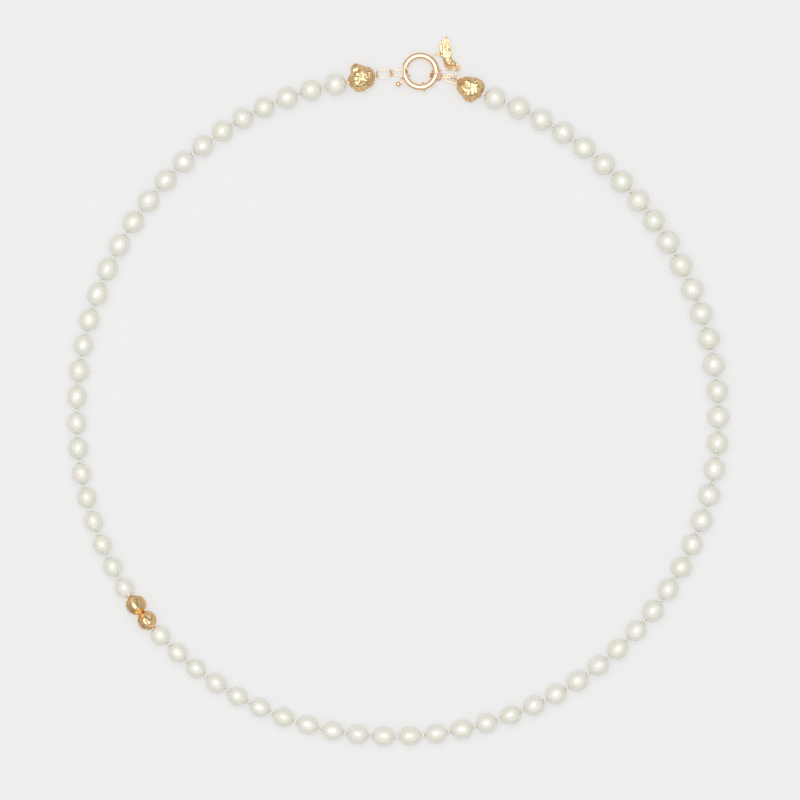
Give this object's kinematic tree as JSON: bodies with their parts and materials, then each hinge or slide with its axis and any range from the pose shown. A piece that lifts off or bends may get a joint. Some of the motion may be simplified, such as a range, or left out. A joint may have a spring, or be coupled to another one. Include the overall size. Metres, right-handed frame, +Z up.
{
  "type": "pearl necklace",
  "caption": "Knotted pearl strand with gold nugget beads, laid flat in a loop and closed by a spring-ring clasp on oval links, with a small bird charm.",
  "frame": {"origin": "under the middle of the whole necklace, on the table it lies on", "axes": "+Z up from the table, +Y towards the clasp, +X towards the side with the longer run of pearls as seen from above"},
  "size_m": [0.1553, 0.1664, 0.0054],
  "materials": {
    "pearl": "cream nacre with a soft satin lustre",
    "silk": "knotted white silk cord",
    "gold": "polished warm yellow gold",
    "spring_steel": "drawn spring wire"
  },
  "bodies": {
    "left_outer_link": {"left_outer_link": "gold"},
    "left_inner_link": {"left_inner_link": "gold"},
    "left_nugget": {"left_nugget": "gold", "left_eye_pin": "gold", "left_thread_end": "silk"},
    "pearls_left_08": {"pearls_left_01": "pearl", "pearls_left_02": "pearl", "pearls_left_03": "pearl", "pearls_left_04": "pearl", "pearls_left_05": "pearl", "pearls_left_06": "pearl", "pearls_left_07": "pearl", "pearls_left_08": "pearl"},
    "pearls_left_10": {"pearls_left_09": "pearl", "pearls_left_10": "pearl"},
    "pearls_right_05": {"pearls_left_11": "pearl", "pearls_left_12": "pearl", "pearls_left_13": "pearl", "bead_thread": "silk", "pearls_right_01": "pearl", "pearls_right_02": "pearl", "pearls_right_03": "pearl", "pearls_right_04": "pearl", "pearls_right_05": "pearl"},
    "pearls_right_06": {"pearls_right_06": "pearl"},
    "pearls_right_07": {"pearls_right_07": "pearl", "pearls_right_08": "pearl", "pearls_right_09": "pearl", "pearls_right_10": "pearl", "pearls_right_11": "pearl", "pearls_right_12": "pearl", "pearls_right_13": "pearl", "pearls_right_14": "pearl"},
    "pearls_right_15": {"pearls_right_15": "pearl", "pearls_right_16": "pearl"},
    "pearls_right_17": {"pearls_right_17": "pearl", "pearls_right_18": "pearl", "pearls_right_19": "pearl", "pearls_right_20": "pearl", "pearls_right_21": "pearl", "pearls_right_22": "pearl", "pearls_right_23": "pearl"},
    "right_nugget": {"right_nugget": "gold", "right_eye_pin": "gold", "right_thread_end": "silk"},
    "right_outer_link": {"right_outer_link": "gold"},
    "right_inner_link": {"right_inner_link": "gold"},
    "clasp_connector": {"clasp_connector": "gold"},
    "clasp": {"clasp_tube": "gold", "clasp_mouth_collar": "gold", "clasp_top_collar": "gold", "clasp_stop_collar": "gold", "clasp_spring": "spring_steel"},
    "clasp_trigger": {"clasp_bolt": "gold", "clasp_thumb_ball": "gold"},
    "gold_bead_upper": {"gold_bead_upper": "gold"},
    "gold_bead_lower": {"gold_bead_lower": "gold"},
    "charm_ring": {"charm_ring": "gold"},
    "charm": {"charm": "gold"}
  },
  "joints": [
    {"name": "bend_left_outer_link", "type": "hinge", "parent": "left_inner_link", "child": "left_outer_link", "pos_m": [-0.00165, 0.0747, 0.00132], "axis": [0, 0, -1], "range_deg": [-3.67, 3.67]},
    {"name": "bend_left_inner_link", "type": "hinge", "parent": "left_nugget", "child": "left_inner_link", "pos_m": [-0.00515, 0.07434, 0.00132], "axis": [0, 0, -1], "range_deg": [-2.85, 2.85]},
    {"name": "bend_left_nugget", "type": "hinge", "parent": "pearls_left_08", "child": "left_nugget", "pos_m": [-0.012, 0.07238, 0.00265], "axis": [0, 0, -1], "range_deg": [-5.92, 5.92]},
    {"name": "bend_pearls_left_08", "type": "hinge", "parent": "pearls_left_10", "child": "pearls_left_08", "pos_m": [-0.0744, 0.00762, 0.00239], "axis": [0, 0, -1], "range_deg": [-7.88, 7.88]},
    {"name": "bend_pearls_left_10", "type": "hinge", "parent": "pearls_right_05", "child": "pearls_left_10", "pos_m": [-0.07465, -0.0167, 0.00226], "axis": [0, 0, -1], "range_deg": [-7.74, 7.74]},
    {"name": "bend_pearls_right_05", "type": "hinge", "parent": "pearls_right_06", "child": "pearls_right_05", "pos_m": [-0.00613, -0.08077, 0.0023], "axis": [0, 0, -1], "range_deg": [-7.63, 7.63]},
    {"name": "bend_pearls_right_07", "type": "hinge", "parent": "pearls_right_06", "child": "pearls_right_07", "pos_m": [0.01231, -0.07977, 0.00233], "axis": [0, 0, 1], "range_deg": [-8, 8]},
    {"name": "bend_pearls_right_15", "type": "hinge", "parent": "pearls_right_07", "child": "pearls_right_15", "pos_m": [0.07469, -0.0148, 0.00255], "axis": [0, 0, 1], "range_deg": [-7.8, 7.8]},
    {"name": "bend_pearls_right_17", "type": "hinge", "parent": "pearls_right_15", "child": "pearls_right_17", "pos_m": [0.07345, 0.00973, 0.00265], "axis": [0, 0, 1], "range_deg": [-7.65, 7.65]},
    {"name": "bend_right_nugget", "type": "hinge", "parent": "pearls_right_17", "child": "right_nugget", "pos_m": [0.02026, 0.06957, 0.00264], "axis": [0, 0, 1], "range_deg": [-2.93, 2.93]},
    {"name": "bend_right_outer_link", "type": "hinge", "parent": "right_nugget", "child": "right_outer_link", "pos_m": [0.01428, 0.07285, 0.00132], "axis": [0, 0, 1], "range_deg": [-4.75, 4.75]},
    {"name": "bend_right_inner_link", "type": "hinge", "parent": "right_outer_link", "child": "right_inner_link", "pos_m": [0.01206, 0.07364, 0.00132], "axis": [0, 0, 1], "range_deg": [-0.41, 0.41]},
    {"name": "bend_clasp_connector", "type": "hinge", "parent": "right_inner_link", "child": "clasp_connector", "pos_m": [0.00984, 0.07379, 0.00132], "axis": [0, 0, 1], "range_deg": [-0.41, 0.41]},
    {"name": "bend_clasp", "type": "hinge", "parent": "clasp_connector", "child": "clasp", "pos_m": [0.00523, 0.07506, 0.00132], "axis": [0, 0, 1], "range_deg": [-0.41, 0.41]},
    {"name": "trigger_pull", "type": "hinge", "parent": "clasp", "child": "clasp_trigger", "pos_m": [0.00523, 0.07506, 0.00132], "axis": [0, 0, 1], "range_deg": [0, 37], "stiffness_Nm_per_rad": 0.001, "deforming": ["clasp_spring"]},
    {"name": "gold_bead_upper_spin", "type": "hinge", "parent": "pearls_right_05", "child": "gold_bead_upper", "pos_m": [-0.06149, -0.05008, 0.0025], "axis": [0.5783, -0.8158, 0], "continuous": true},
    {"name": "gold_bead_lower_spin", "type": "hinge", "parent": "pearls_right_05", "child": "gold_bead_lower", "pos_m": [-0.05878, -0.05365, 0.0025], "axis": [0.6273, -0.7788, 0], "continuous": true},
    {"name": "charm_ring_swing", "type": "hinge", "parent": "right_outer_link", "child": "charm_ring", "pos_m": [0.01352, 0.07446, 0.00205], "axis": [0.9863, -0.165, 0], "range_deg": [0, 35]},
    {"name": "charm_turn", "type": "hinge", "parent": "charm_ring", "child": "charm", "pos_m": [0.0138, 0.076, 0.00125], "axis": [0, 0, 1], "range_deg": [-45, 0]}
  ],
  "couplings": [
    {"joint": "bend_left_outer_link", "follows": "bend_pearls_right_07", "ratio": 0.4576},
    {"joint": "bend_left_inner_link", "follows": "bend_pearls_right_07", "ratio": 0.3548},
    {"joint": "bend_left_nugget", "follows": "bend_pearls_right_07", "ratio": 0.7382},
    {"joint": "bend_pearls_left_08", "follows": "bend_pearls_right_07", "ratio": -0.9843},
    {"joint": "bend_pearls_left_10", "follows": "bend_pearls_right_07", "ratio": -0.9668},
    {"joint": "bend_pearls_right_05", "follows": "bend_pearls_right_07", "ratio": 0.9519},
    {"joint": "bend_pearls_right_15", "follows": "bend_pearls_right_07", "ratio": -0.9741},
    {"joint": "bend_pearls_right_17", "follows": "bend_pearls_right_07", "ratio": -0.9544},
    {"joint": "bend_right_nugget", "follows": "bend_pearls_right_07", "ratio": -0.3652},
    {"joint": "bend_right_outer_link", "follows": "bend_pearls_right_07", "ratio": 0.5923},
    {"joint": "bend_right_inner_link", "follows": "bend_pearls_right_07", "ratio": 0.0501},
    {"joint": "bend_clasp_connector", "follows": "bend_pearls_right_07", "ratio": 0.0501},
    {"joint": "bend_clasp", "follows": "bend_pearls_right_07", "ratio": 0.05}
  ]
}
